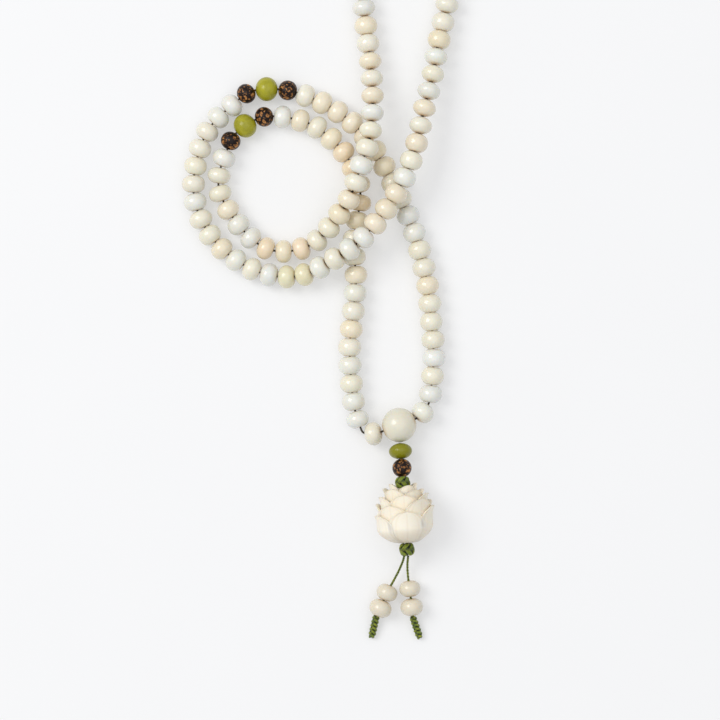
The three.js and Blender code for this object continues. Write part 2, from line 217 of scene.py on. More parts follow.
def ring_faces(rings, sides, first=0, closed=False):
    """Quads between rings of points. A closed row of rings joins its last one to its first."""
    faces = []
    for i in range(rings if closed else rings - 1):
        here, there = first + i * sides, first + ((i + 1) % rings) * sides
        for j in range(sides):
            k = (j + 1) % sides
            faces.append((here + j, there + j, there + k, here + k))
    return faces


def lathe(outline, sides):
    """A closed outline of (radius, distance) turned about +Y."""
    angles = [FULL * j / sides for j in range(sides)]
    points = [(r * math.sin(a), y, r * math.cos(a)) for r, y in outline for a in angles]
    return points, facing_out(points, ring_faces(len(outline), sides, closed=True))


def sweep(centres, radius, sides, closed=False):
    """A round tube along centres, with flat ends unless it is closed."""
    centres = np.asarray(centres, float)
    if closed:
        ways = np.roll(centres, -1, axis=0) - np.roll(centres, 1, axis=0)
    else:
        ways = np.gradient(centres, axis=0)
    ways /= np.linalg.norm(ways, axis=1, keepdims=True)
    side = np.cross(ways[0], (0.3, 0.2, 0.93))
    angles = FULL * np.arange(sides) / sides
    rings = []
    for way, centre in zip(ways, centres):
        side = side - way * np.dot(side, way)
        side /= np.linalg.norm(side)
        other = np.cross(way, side)
        rings.append(centre + radius * (np.outer(np.cos(angles), side)
                                        + np.outer(np.sin(angles), other)))
    points = np.concatenate(rings)
    faces = ring_faces(len(rings), sides, closed=closed)
    if not closed:
        last = (len(rings) - 1) * sides
        faces.append(tuple(range(sides)))
        faces.append(tuple(last + j for j in reversed(range(sides))))
    return points, facing_out(points, faces)


def gathered(parts):
    """Several (points, faces) as one."""
    points, faces = [], []
    for some, these in parts:
        first = len(points)
        points.extend(map(tuple, some))
        faces.extend(tuple(first + i for i in face) for face in these)
    return points, faces


def make(name, shape, material, place=None, crease=None):
    """An object of a shape in millimetres, placed by a matrix, smooth but for its creases."""
    points, faces = shape
    mesh = bpy.data.meshes.new(name)
    mesh.from_pydata([tuple(c * MM for c in p) for p in points], [], faces)
    mesh.polygons.foreach_set("use_smooth", [True] * len(mesh.polygons))
    if crease is not None:
        mesh.set_sharp_from_angle(angle=math.radians(crease))
    mesh.materials.append(material)
    piece = bpy.data.objects.new(name, mesh)
    bpy.context.scene.collection.objects.link(piece)
    if place is not None:
        piece.matrix_world = place
    return piece


def paint(piece, name, values):
    """A value at each point of a piece, for its material to read."""
    attribute = piece.data.attributes.new(name, "FLOAT", "POINT")
    attribute.data.foreach_set("value", values)


def paint_colour(piece, name, colour):
    attribute = piece.data.attributes.new(name, "FLOAT_COLOR", "POINT")
    attribute.data.foreach_set("color", (*colour, 1.0) * len(piece.data.vertices))


# ------------------------------------------------------------------ materials


class Shade:
    """A material's nodes, added one after another."""

    def __init__(self, name, **values):
        self.material = bpy.data.materials.new(name)
        self.material.use_nodes = True
        self.nodes = self.material.node_tree.nodes
        self.links = self.material.node_tree.links
        self.shader = self.nodes["Principled BSDF"]
        for socket, value in values.items():
            self.shader.inputs[socket.replace("_", " ").title().replace("Ior", "IOR")
                               ].default_value = value
        self.place = self.millimetres()

    def add(self, kind, **settings):
        node = self.nodes.new("ShaderNode" + kind)
        for name, value in settings.items():
            setattr(node, name, value)
        return node

    def feed(self, socket, value):
        """A socket takes another node's output, or a value."""
        if isinstance(value, bpy.types.NodeSocket):
            self.links.new(value, socket)
        else:
            socket.default_value = value

    def millimetres(self):
        """The piece's own coordinates in millimetres."""
        scale = self.add("VectorMath", operation="SCALE")
        self.feed(scale.inputs[0], self.add("TexCoord").outputs["Object"])
        self.feed(scale.inputs["Scale"], 1 / MM)
        return scale.outputs[0]

    def shifted(self, name):
        """Those coordinates, moved by a painted value, so that no two pieces look alike."""
        far = self.add("VectorMath", operation="MULTIPLY_ADD")
        self.feed(far.inputs[0], self.painted(name, "Vector"))
        self.feed(far.inputs[1], (40, 40, 40))
        self.feed(far.inputs[2], self.place)
        return far.outputs[0]

    def painted(self, name, output="Fac"):
        return self.add("Attribute", attribute_name=name).outputs[output]

    def noise(self, scale, detail=3.0, vector=None, distortion=0.0):
        node = self.add("TexNoise")
        self.feed(node.inputs["Vector"], vector or self.place)
        self.feed(node.inputs["Scale"], scale)
        self.feed(node.inputs["Detail"], detail)
        self.feed(node.inputs["Distortion"], distortion)
        return node.outputs["Fac"]

    def noise_vector(self, scale, vector):
        """A smooth random offset, from -0.5 to 0.5 each way."""
        node = self.add("TexNoise")
        self.feed(node.inputs["Vector"], vector)
        self.feed(node.inputs["Scale"], scale)
        centred = self.add("VectorMath", operation="SUBTRACT")
        self.feed(centred.inputs[0], node.outputs["Color"])
        self.feed(centred.inputs[1], (0.5, 0.5, 0.5))
        return centred.outputs[0]

    def cells(self, scale, feature="F1", vector=None):
        node = self.add("TexVoronoi", feature=feature)
        self.feed(node.inputs["Vector"], vector or self.place)
        self.feed(node.inputs["Scale"], scale)
        return node.outputs["Distance"]

    def rings(self, scale, distortion=0.0):
        node = self.add("TexWave", bands_direction="Y")
        self.feed(node.inputs["Vector"], self.place)
        self.feed(node.inputs["Scale"], scale)
        self.feed(node.inputs["Distortion"], distortion)
        self.feed(node.inputs["Detail"], 2.0)
        return node.outputs["Fac"]

    def range(self, value, low, high, to_low=0.0, to_high=1.0):
        node = self.add("MapRange")
        for socket, number in zip(node.inputs[1:5], (low, high, to_low, to_high)):
            socket.default_value = number
        self.feed(node.inputs[0], value)
        return node.outputs[0]

    def math(self, operation, a, b=0.0):
        node = self.add("Math", operation=operation)
        self.feed(node.inputs[0], a)
        self.feed(node.inputs[1], b)
        return node.outputs[0]

    def mix(self, share, a, b, blend="MIX"):
        node = self.add("Mix", data_type="RGBA", blend_type=blend)
        self.feed(node.inputs[0], share)
        for socket, value in ((node.inputs[6], a), (node.inputs[7], b)):
            self.feed(socket, value if isinstance(value, bpy.types.NodeSocket) else (*value, 1))
        return node.outputs[2]

    def grey(self, value):
        node = self.add("CombineColor")
        for socket in node.inputs:
            self.feed(socket, value)
        return node.outputs[0]

    def colour(self, value):
        self.feed(self.shader.inputs["Base Color"], value)

    def roughness(self, value):
        self.feed(self.shader.inputs["Roughness"], value)

    def bump(self, height, strength, distance):
        """Height is in units of distance, in millimetres."""
        node = self.add("Bump")
        self.feed(node.inputs["Strength"], strength)
        self.feed(node.inputs["Distance"], distance * MM)
        self.feed(node.inputs["Height"], height)
        self.feed(self.shader.inputs["Normal"], node.outputs[0])


def seed_white(name, coat, coat_roughness, pits=True):
    """Polished white seed: a tone for each bead, clouds, faint turning lines, and painted warm
    shade towards the bores, where beads meet.
    """
    shade = Shade(name, ior=1.52, coat_weight=coat, coat_roughness=coat_roughness,
                  subsurface_weight=0.2, subsurface_scale=0.9 * MM)
    shade.shader.inputs["Subsurface Radius"].default_value = (1.0, 0.7, 0.4)
    vector = shade.shifted("own")
    clouds = shade.range(shade.noise(0.16, 3.0, vector), 0.35, 0.7)
    tone = shade.mix(shade.math("MULTIPLY", clouds, 0.35), shade.painted("tone", "Color"),
                     (0.77, 0.66, 0.48))
    lines = shade.range(shade.rings(1.7, 2.2), 0.0, 1.0, 0.965, 1.0)
    tone = shade.mix(1.0, tone, shade.grey(lines), "MULTIPLY")
    # Painted shade: warmer and darker towards the bores, where neighbouring beads meet.
    contact_shade = shade.range(shade.painted("contact_shade"), 0.2, 1.0, 0.0, 0.9)
    tone = shade.mix(contact_shade, tone, (0.60, 0.40, 0.2))
    if pits:
        spots = shade.range(shade.cells(0.62, vector=vector), 0.03, 0.075, 0.45, 0.0)
        tone = shade.mix(spots, tone, (0.42, 0.25, 0.12))
    shade.colour(tone)
    shade.roughness(shade.range(shade.noise(0.9, 2.0, vector), 0.3, 0.75, 0.16, 0.27))
    fine = shade.math("ADD", shade.math("MULTIPLY", shade.rings(1.7, 2.2), 0.5),
                      shade.noise(2.4, 3.0, vector))
    shade.bump(fine, 0.15, 0.02)
    return shade.material


def olive_bead():
    shade = Shade("olive_polish", ior=1.5, specular_ior_level=0.3, coat_weight=0.15,
                  coat_roughness=0.12)
    vector = shade.shifted("own")
    patches = shade.range(shade.noise(0.33, 4.0, vector, 0.6), 0.32, 0.7, 0.0, 0.6)
    tone = shade.mix(patches, shade.painted("tone", "Color"), (0.22, 0.21, 0.012))
    specks = shade.range(shade.noise(2.6, 2.0, vector), 0.6, 0.74, 0.0, 0.35)
    tone = shade.mix(specks, tone, (0.11, 0.1, 0.006))
    # Painted shade: darker towards the bores, where neighbouring beads meet.
    contact_shade = shade.range(shade.painted("contact_shade"), 0.5, 1.0, 0.0, 0.6)
    tone = shade.mix(contact_shade, tone, (0.08, 0.07, 0.005))
    shade.colour(tone)
    shade.roughness(shade.range(shade.noise(1.1, 2.0, vector), 0.3, 0.75, 0.2, 0.33))
    shade.bump(shade.noise(1.6, 3.0, vector), 0.3, 0.04)
    return shade.material


def dark_seed():
    """Near-black seed with raised tan flecks of many shapes."""
    shade = Shade("dark_seed", ior=1.45, specular_ior_level=0.25)
    vector = shade.shifted("own")
    bend = shade.add("VectorMath", operation="MULTIPLY_ADD")
    shade.feed(bend.inputs[0], shade.noise_vector(0.9, vector))
    shade.feed(bend.inputs[1], (1.1, 1.1, 1.1))
    shade.feed(bend.inputs[2], vector)
    bent = bend.outputs[0]
    fleck = shade.range(shade.cells(0.52, "DISTANCE_TO_EDGE", bent), 0.08, 0.17)
    which = shade.range(shade.noise(0.8, 1.0, vector), 0.44, 0.5)
    share = shade.math("MULTIPLY", fleck, which)
    tan = shade.mix(shade.range(shade.noise(1.4, 2.0, vector), 0.35, 0.65),
                    (0.14, 0.05, 0.014), (0.50, 0.23, 0.07))
    shade.colour(shade.mix(share, (0.011, 0.005, 0.0035), tan))
    shade.roughness(shade.range(share, 0.0, 1.0, 0.28, 0.5))
    shade.bump(shade.math("ADD", share, shade.noise(3.0, 2.0, vector)), 0.6, 0.12)
    return shade.material


def carved_white():
    """Carved and lightly polished: creamy, with painted warm shade in the grooves and at the rims,
    feet and backs of the petals, and with faint lines up the petals.
    """
    shade = Shade("carved_white", ior=1.5, coat_weight=0.12, coat_roughness=0.25,
                  subsurface_weight=0.25, subsurface_scale=1.0 * MM)
    shade.shader.inputs["Subsurface Radius"].default_value = (1.0, 0.7, 0.42)
    clouds = shade.range(shade.noise(0.12, 3.0), 0.3, 0.7)
    tone = shade.mix(clouds, (0.87, 0.82, 0.70), (0.85, 0.78, 0.63))
    # Painted shade: warm and darker in the grooves, at the rims and feet of the petals, on their
    # backs and on the bulb.
    carving_shades = shade.range(shade.painted("carving_shade"), 0.0, 1.0, 0.0, 0.5)
    tone = shade.mix(carving_shades, tone, (0.62, 0.46, 0.29))
    shade.colour(tone)
    shade.roughness(shade.range(shade.noise(0.7, 2.0), 0.3, 0.7, 0.34, 0.5))
    shade.bump(shade.noise(1.3, 4.0), 0.25, 0.05)
    return shade.material


def green_braid():
    """Braided green thread: bright where a strand passes over, with painted shade where it dives
    under and on the cores between the passes.
    """
    shade = Shade("green_braid", sheen_weight=0.15, sheen_roughness=0.4, ior=1.5)
    yarns = shade.range(shade.noise(0.7, 2.0), 0.35, 0.65)
    tone = shade.mix(yarns, (0.10, 0.16, 0.005), (0.27, 0.30, 0.010))
    # Painted shade where a strand dives under another, and on the cores between the passes.
    under = shade.range(shade.painted("over"), -0.5, 0.9, 1.0, 0.0)
    tone = shade.mix(under, tone, (0.010, 0.020, 0.002))
    shade.colour(tone)
    shade.roughness(shade.range(shade.noise(3.0, 2.0), 0.3, 0.7, 0.45, 0.65))
    shade.bump(shade.noise(7.0, 3.0, None, 1.5), 0.5, 0.06)
    return shade.material


def dark_string():
    shade = Shade("waxed_string", sheen_weight=0.1, sheen_roughness=0.5)
    tone = shade.mix(shade.range(shade.noise(1.5, 3.0), 0.35, 0.65), (0.018, 0.013, 0.008),
                     (0.06, 0.045, 0.024))
    shade.colour(tone)
    shade.roughness(shade.range(shade.noise(2.0, 2.0), 0.3, 0.7, 0.45, 0.65))
    shade.bump(shade.noise(6.0, 2.0), 0.4, 0.05)
    return shade.material


WHITE = seed_white("white_seed", 0.4, 0.14)
PEARL = seed_white("pearl_seed", 0.15, 0.3, pits=False)
OLIVE = olive_bead()
SEED = dark_seed()
CARVED = carved_white()
BRAID = green_braid()
STRING = dark_string()

# ------------------------------------------------------------------ camera

VIEW_WIDTH = 250.6
VIEW_CENTRE = (-13.6, 22.6, BEAD_RADIUS)
CAMERA_HEIGHT = 1100

camera = bpy.data.objects.new("camera", bpy.data.cameras.new("camera"))
camera.data.lens = camera.data.sensor_width * CAMERA_HEIGHT / VIEW_WIDTH
camera.location = (Vector(VIEW_CENTRE) + Vector((0, 0, CAMERA_HEIGHT))) * MM
camera.data.clip_start, camera.data.clip_end = 0.01, 10
bpy.context.scene.collection.objects.link(camera)
bpy.context.scene.camera = camera

# ------------------------------------------------------------------ cords


def around(centres, distances, spin):
    """Places beside a line: spin gives (angle, offset) at each distance along it."""
    ways = np.gradient(centres, axis=0)
    ways /= np.linalg.norm(ways, axis=1, keepdims=True)
    side = np.cross(ways[0], (0.3, 0.2, 0.93))
    places = []
    for way, centre, distance in zip(ways, centres, distances):
        side = side - way * np.dot(side, way)
        side /= np.linalg.norm(side)
        angle, offset = spin(distance)
        places.append(centre + offset * (math.cos(angle) * side
                                         + math.sin(angle) * np.cross(way, side)))
    return places


def twist(route, start, end, radius, plies=3, pitch=2.4, step=0.4, sides=6):
    """Plies laid round each other along a route."""
    distances, centres = route.stretch(start, end, step)
    ply = radius / (1 + 1 / math.sin(math.pi / plies)) * 1.12
    parts = []
    for k in range(plies):
        def spin(distance, k=k):
            return FULL * (distance / pitch + k / plies), radius - ply
        parts.append(sweep(around(centres, distances, spin), ply, sides))
    return gathered(parts)


def braid(route, start, end, radius, thread, pitch, pairs=2, step=0.12, sides=8, taper=0.0):
    """Strands that wind both ways round a route, over and under each other.

    Returns the shape, and for each of its points how far it is over (1) or under (-1).
    """
    distances, centres = route.stretch(start, end, step)
    lift = thread * 0.45
    middle = radius - thread - lift
    parts, overs = [], []
    for way in (1, -1):
        passes = way * np.cos(pairs * FULL * distances / pitch)
        for k in range(pairs):
            def spin(distance, way=way, k=k):
                turn = FULL * distance / pitch
                end_gap = min(distance - start, end - distance)
                shrink = 1 - taper * math.exp(-max(end_gap, 0) / 0.5)
                over = lift * way * math.cos(pairs * turn)
                return way * turn + FULL * k / pairs, (middle + over) * shrink
            parts.append(sweep(around(centres, distances, spin), thread, sides))
            overs.extend(np.repeat(passes, sides))
    return gathered(parts), overs


tail_pieces = {}
for side, tail in TAILS.items():
    route = Route(tail["route"], closed=False)
    shape, overs = braid(route, 0, route.length, TAIL_RADIUS, 0.19, 2.2, step=0.1, sides=6)
    cord = make(f"braided_tail_{side}", shape, BRAID)
    # Painted shade where a strand dives under, for the braid material.
    paint(cord, "over", overs)
    tail_pieces[side] = (cord, route)
    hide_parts(f"tail_cord_{side}")
    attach(cord, f"{side}_tail")

pendant_route = Route(PENDANT_ROUTE, closed=False)
shape, overs = braid(pendant_route, 0, pendant_route.length, 0.5, 0.2, 2.2, step=0.15, sides=6)
pendant_cord = make("braided_pendant_cord", shape, BRAID)
# Painted shade where a strand dives under, for the braid material.
paint(pendant_cord, "over", overs)
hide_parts("pendant_cord")
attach(pendant_cord, "pendant")

# ------------------------------------------------------------------ the order of the strand

strand = Route(ROUTE, closed=True)
order = []


def thread_on(name, bead, look, count=1, spare=0.0):
    order.append({"name": name, "bead": bead, "look": look, "count": count, "spare": spare})


def thread_runs(side, sizes, spare=0.0):
    for i, count in enumerate(sizes):
        last = i == len(sizes) - 1
        thread_on(f"{side}_beads_{i + 1}", COUNTING, "white", count, spare if last else 0.0)


def thread_markers(side):
    thread_on(f"{side}_marker_seed_1", SEED_MARKER, "seed", 1, SPARE_BY_MARKER)
    thread_on(f"{side}_marker_green", GREEN_MARKER, "green", 1, SPARE_BY_MARKER)
    thread_on(f"{side}_marker_seed_2", SEED_MARKER, "seed")


thread_on("right_guru_side_bead", COUNTING, "white", 1, SPARE_AFTER_FIRST)
thread_runs("right_strand", [4, 4, 4, 4, 3])
thread_on("right_marker_side_bead", COUNTING, "white")
thread_markers("right")
thread_on("outer_turn_first_bead", COUNTING, "white")
thread_runs("outer_turn", [5, 4, 4, 4, 4, 4])
for number in (1, 2, 3):
    thread_on(f"right_lift_bead_{number}", COUNTING, "white")
thread_on("loop_right_beads", COUNTING, "white", 4)
thread_runs("loop_top", [5, 4])
thread_on("loop_left_beads", COUNTING, "white", 4)
for number in (3, 2, 1):
    thread_on(f"left_lift_bead_{number}", COUNTING, "white")
thread_runs("inner_turn", [4, 4, 4, 4])
thread_on("inner_turn_last_bead", COUNTING, "white")
thread_markers("left")
thread_on("left_marker_side_bead", COUNTING, "white")
thread_runs("left_strand", [3, 4, 4, 4, 4], SPARE_BEFORE_LAST)
thread_on("left_guru_side_bead", COUNTING, "white")

bead_lengths = sum(2 * item["bead"]["half"] * item["count"] for item in order)
spare_lengths = sum(item["spare"] for item in order) + 2 * SPARE_BY_GURU
bead_total = sum(item["count"] for item in order)
bead_gap = (strand.length - bead_lengths - spare_lengths - 2 * GURU_HALF) / (bead_total + 1)

beads = []
reached = GURU_HALF + SPARE_BY_GURU + bead_gap
for item in order:
    for position in range(item["count"]):
        middle = reached + item["bead"]["half"]
        reached += 2 * item["bead"]["half"] + bead_gap
        beads.append({**item, "position": position, "middle": middle})
    reached += item["spare"]


def bead_frame(middle, bead):
    """The frame of a bead on the strand, lifted where it would reach below the surface."""
    place, along = strand.at(middle)
    level = math.hypot(along[0], along[1])
    lowest = bead["radius"] * level + bead["band"] * abs(along[2])
    return frame_at((place[0], place[1], max(place[2], lowest)), along)


def middle_of(name, position=0):
    return next(b["middle"] for b in beads if b["name"] == name and b["position"] == position)


# ------------------------------------------------------------------ the string

# The string is one loop. A stretch that crosses a joint is a piece of its own, fixed where it
# lies, from one bead to the next.
LOOP_OVERLAP = 0.3


def string_piece(name, start, end, node):
    piece = make(name, twist(strand, start, end, STRING_RADIUS), STRING)
    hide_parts(node)
    return piece


def string_on(name, start, end, body, node="loop_string"):
    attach(string_piece(name, start, end, node), body)


def string_across(name, start, end):
    piece = string_piece(name, start, end, "loop_string")
    gap = (start + end) / 2
    near, far = (strand.at(gap + way * bead_gap)[0] * MM for way in (-1, 1))
    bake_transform(piece)


right_end = middle_of("outer_turn_beads_6", 3)
left_end = middle_of("inner_turn_beads_1", 0)
lifts = {side: [middle_of(f"{side}_lift_bead_{n}") for n in (1, 2, 3)]
         for side in ("right", "left")}
right_loop = [middle_of("loop_right_beads", 0), middle_of("loop_right_beads", 3)]
left_loop = [middle_of("loop_left_beads", 0), middle_of("loop_left_beads", 3)]
top_loop = [middle_of("loop_top_beads_1", 0), middle_of("loop_top_beads_2", 3)]
open_pivot = (top_loop[1] + left_loop[0]) / 2

string_on("string_coil", left_end, right_end + strand.length, "strand", "stringing_cord")
string_across("string_fold_1_right", right_end, lifts["right"][0])
string_across("string_fold_1_left", lifts["left"][0], left_end)
for number in (1, 2):
    near, far = (lifts["right"][i] for i in (number - 1, number))
    string_across(f"string_fold_{number + 1}_right", near, far)
    near, far = (lifts["left"][i] for i in (number, number - 1))
    string_across(f"string_fold_{number + 1}_left", near, far)
string_across("string_sway_right", lifts["right"][2], right_loop[0])
string_on("string_loop_right", *right_loop, "loop_right")
string_across("string_sway_top", right_loop[1], top_loop[0])
string_on("string_loop_top", top_loop[0], open_pivot + LOOP_OVERLAP, "loop_top")
string_on("string_loop_left", open_pivot - LOOP_OVERLAP, left_loop[1], "loop_left")
string_across("string_sway_left", left_loop[1], lifts["left"][2])

# ------------------------------------------------------------------ beads

TONES = {
    "w": (0.75, 0.76, 0.70), "i": (0.78, 0.75, 0.62), "c": (0.79, 0.71, 0.54),
    "p": (0.80, 0.66, 0.46), "y": (0.75, 0.71, 0.49),
}
# One letter a bead: cool white, ivory, cream, peach or pale yellow.
STRAND_TONES = {
    "right_guru_side": "w", "right_strand": "wiwiiiciiwwiicccccc",
    "right_marker_side": "i", "outer_turn_first": "w",
    "outer_turn": "wiiiiwiicwiwyywiwwcccwici", "right_lift": "cwi",
    "loop_right": "wcii", "loop_top": "iwwiiwiiw", "loop_left": "wcic",
    "left_lift": "icw", "inner_turn": "iiwicciipcpwwcii",
    "inner_turn_last": "w", "left_marker_side": "w",
    "left_strand": "cicppcpciicwiciwiww", "left_guru_side": "i",
}
GURU_TONE = (0.71, 0.69, 0.57)
TAIL_TONE = (0.70, 0.645, 0.52)
OLIVE_TONES = {"marker": (0.38, 0.355, 0.018), "spacer": (0.22, 0.215, 0.006)}
draw = random.Random(108)
POINTS_ROUND = 40


def bead_outline(half, radius, face, bore, power, steps=11):
    """Half an outline at a time: a rounded barrel with flat faces and eased bore mouths."""
    reach = half / (1 - (face / radius) ** power) ** (1 / power)
    top = math.asin(min(1.0, half / reach))
    upper = []
    for i in range(steps + 1):
        t = top * i / steps
        y = reach * math.sin(t)
        upper.append((radius * (1 - (y / reach) ** power) ** (1 / power), y))
    ease = 0.16
    upper += [(bore + ease, half), (bore + ease * 0.35, half - ease * 0.3),
              (bore, half - ease)]
    lower = [(r, -y) for r, y in reversed(upper)]
    return lower[:-1] + upper


def contact_shade_share(points, half, radius, bore):
    """0 round the middle of a bead, 1 at its bores: how much painted shade a point takes where
    beads meet.
    """
    shares = []
    for x, y, z in points:
        r = math.hypot(x, z)
        shares.append(max(0.0, 1 - (r - bore) / (0.62 * radius)) if abs(y) > 0.3 * half else 0.0)
    return shares


def turned_bead(name, half, radius, material, place, tone=None, face=1.5, bore=0.62,
                power=2.3, wobble=0.0, sides=POINTS_ROUND):
    """One bead on +Y, never quite round."""
    outline = bead_outline(half, radius, face, bore, power)
    points, faces = lathe(outline, sides)
    phase, lean = draw.uniform(0, FULL), draw.uniform(0, FULL)
    shaped = []
    for x, y, z in points:
        angle = math.atan2(x, z)
        share = 1 - wobble * (0.5 + 0.5 * math.cos(2 * angle + phase))
        tilt = 1 + 0.4 * wobble * math.cos(angle + lean) * (y / half)
        shaped.append((x * share, y * tilt, z * share))
    piece = make(name, (shaped, faces), material, place, crease=50)
    # Painted shade towards the bores, where beads meet, for the material to darken.
    paint(piece, "contact_shade", contact_shade_share(points, half, radius, bore))
    paint_colour(piece, "own", tuple(draw.random() for _ in range(3)))
    if tone is not None:
        paint_colour(piece, "tone", tone)
    return piece


def tone_of(letter):
    """A bead's own tone, near the one that its letter names."""
    shift = draw.uniform(-0.018, 0.018)
    warm = draw.uniform(-0.02, 0.02)
    r, g, b = TONES[letter]
    return (r + shift, g + shift, b + shift - warm)


def room_for(index, face):
    """The half-length that a bead may have between its neighbours, where the string bends."""
    here, along = strand.at(beads[index]["middle"])
    rooms = []
    for other in (index - 1, index + 1):
        if not 0 <= other < len(beads):
            continue
        apart = abs(beads[other]["middle"] - beads[index]["middle"])
        share = beads[index]["bead"]["half"] / (
            beads[index]["bead"]["half"] + beads[other]["bead"]["half"])
        bend = math.acos(np.clip(np.dot(along, strand.at(beads[other]["middle"])[1]), -1, 1))
        rooms.append(apart * share - face * math.tan(bend / 2) - 0.015)
    return min(rooms)


LOOKS = {
    "white": {"material": WHITE, "face": 1.9, "power": 2.2, "slot": "counting_bead"},
    "seed": {"material": SEED, "face": 0.9, "power": 2.0, "slot": "seed_bead"},
    "green": {"material": OLIVE, "face": 0.9, "power": 2.0, "slot": "green_bead"},
}
BEAD_SWELL = 0.26
MARKER_SWELL = 1.02
WHITE_WOBBLE, MARKER_WOBBLE = 0.008, 0.006
# Beads beside a bend of the loop have rounder ends and more room, so that they clear each other.
BENDING = {"strand", "loop_link_1", "loop_link_2", "loop_link_3", "loop_right", "loop_top",
           "loop_left"}
BEND_FACE, BEND_POWER, BEND_ROOM = 0.9, 2.0, 0.03


def beside_bend(index):
    """Whether a joint of the loop is next to this bead."""
    own = body_of_node[beads[index]["name"]]
    others = {body_of_node[beads[other]["name"]] for other in (index - 1, index + 1)
              if 0 <= other < len(beads)}
    return own in BENDING and bool((others & BENDING) - {own})


numbers = {}
for index, item in enumerate(beads):
    look = LOOKS[item["look"]]
    bead = item["bead"]
    face, power = look["face"], look["power"] + draw.uniform(-0.1, 0.15)
    half = min(room_for(index, face), bead["half"] + BEAD_SWELL)
    if beside_bend(index):
        face, power, half = BEND_FACE, BEND_POWER, bead["half"] - BEND_ROOM
    place = bead_frame(item["middle"], bead)
    if item["look"] == "white":
        group = item["name"].split("_bead")[0]
        numbers[group] = numbers.get(group, 0) + 1
        name = f"{group}_white_bead_{numbers[group]}"
        tone = tone_of(STRAND_TONES[group][numbers[group] - 1])
        radius, wobble = bead["radius"] * draw.uniform(0.99, 1.02), WHITE_WOBBLE
    else:
        name, tone, wobble = f"polished_{item['name']}", OLIVE_TONES["marker"], MARKER_WOBBLE
        radius = bead["radius"] * MARKER_SWELL
    piece = turned_bead(name, half, radius, look["material"], place, tone,
                        face=face, power=power, wobble=wobble)
    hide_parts(item["name"])
    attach(piece, body_of_node[item["name"]])

# ------------------------------------------------------------------ guru bead

guru = turned_bead("bored_guru_bead", GURU_HALF, GURU_RADIUS, PEARL,
                   frame_at((0, 0, GURU_RADIUS), GURU_LINE), GURU_TONE, face=1.6, bore=0.75,
                   power=2.0, sides=64)
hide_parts("guru_bead")
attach(guru, "strand")

# ------------------------------------------------------------------ pendant: spacers and knots


def pendant_bead(name, node, body, half, radius, material, slot, place, line, tone=None, **shape):
    piece = turned_bead(name, half, radius, material, frame_at(place, line), tone, **shape)
    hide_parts(node)
    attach(piece, body)
    return piece


pendant_bead("polished_green_spacer", "green_spacer", "green_spacer", 2.62, 4.05, OLIVE,
             "green_bead", GREEN_SPACER_PLACE, PENDANT_SLOPE, OLIVE_TONES["spacer"], face=1.3,
             power=2.0, bore=0.75)
pendant_bead("polished_seed_spacer", "seed_spacer", "seed_spacer", 3.0, 3.35, SEED,
             "seed_bead", SEED_SPACER_PLACE, PENDANT_SLOPE, face=1.2, power=2.05, bore=0.75)

LEADS, BIGHTS = 3, 5


def button_knot(half, radius, thread, spread=0.17):
    """A doubled Turk's head: one thread over and under itself round a barrel."""
    parts, overs = [], []
    count, sides = 520, 8
    for side in (-1, 1):
        places = []
        for i in range(count):
            t = FULL * i / count
            y = (half - thread) * math.cos(BIGHTS * t)
            belly = radius - thread * 1.4 - 0.42 * (y / half) ** 2 * radius
            r = belly + 0.4 * thread * math.sin(2 * BIGHTS * t)
            angle = LEADS * t + side * spread
            places.append((r * math.cos(angle), y, r * math.sin(angle)))
            overs.extend([math.sin(2 * BIGHTS * t)] * sides)
        parts.append(sweep(places, thread, sides, closed=True))
    return parts, overs


def knot_core(half, radius, bore):
    """What shows between the thread's passes."""
    outline = [(bore, -half), (radius * 0.75, -half), (radius, -half * 0.4), (radius, half * 0.4),
               (radius * 0.75, half), (bore, half)]
    return lathe(outline, 24)


def add_knot(name, node, half, radius, thread, place, line):
    parts, overs = button_knot(half, radius, thread)
    core = knot_core(half * 0.85, radius * 0.6, 0.5)
    piece = make(name, gathered([*parts, core]), BRAID, frame_at(place, line))
    # Painted shade where strands dive under; the core between the passes takes full painted shade.
    paint(piece, "over", overs + [-1.0] * len(core[0]))
    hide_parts(node)
    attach(piece, "pendant")


add_knot("tied_upper_knot", "upper_knot", 2.1, 2.8, 0.42, UPPER_KNOT_PLACE, PENDANT_SLOPE)
add_knot("tied_lower_knot", "lower_knot", 2.2, 2.85, 0.43, LOWER_KNOT_PLACE, LOTUS_UP)

# ------------------------------------------------------------------ lotus bud

# Each row of petals: the height of their feet and of each one's tip, the radii of the outer face
# at the foot, the belly and the tip, their width across and the way that the first one faces.
ROWS = [
    {"foot": 0.1, "tips": (11.0, 12.6, 11.6, 11.4, 9.9), "radii": (4.2, 9.75, 10.3),
     "width": 14.2, "turn": 4},
    {"foot": 4.0, "tips": (15.2, 14.4, 14.0, 13.7, 13.2), "radii": (7.6, 9.1, 9.7),
     "width": 12.8, "turn": 40},
    {"foot": 8.5, "tips": (16.6, 16.9, 16.5, 16.3, 16.2), "radii": (7.4, 8.1, 8.5),
     "width": 11.0, "turn": 0},
    {"foot": 11.5, "tips": (18.3, 18.2, 18.6, 19.0, 18.8), "radii": (6.0, 6.6, 7.0),
     "width": 9.2, "turn": 36},
    {"foot": 14.5, "tips": (19.9, 20.4, 20.0, 20.5), "radii": (4.0, 4.6, 4.7),
     "width": 7.0, "turn": 22},
]
PETAL_UP, PETAL_ACROSS = 26, 24
BELLY = 0.48
FOOT_THICK, TIP_THICK = 1.9, 0.75
BULB = [(0.8, 0.0), (3.8, 0.0), (5.6, 0.9), (7.6, 3.0), (8.3, 6.5), (7.9, 10.5), (6.4, 14.5),
        (4.1, 17.6), (2.6, 18.8), (0.8, 18.8)]


def smooth(t):
    return t * t * (3 - 2 * t)


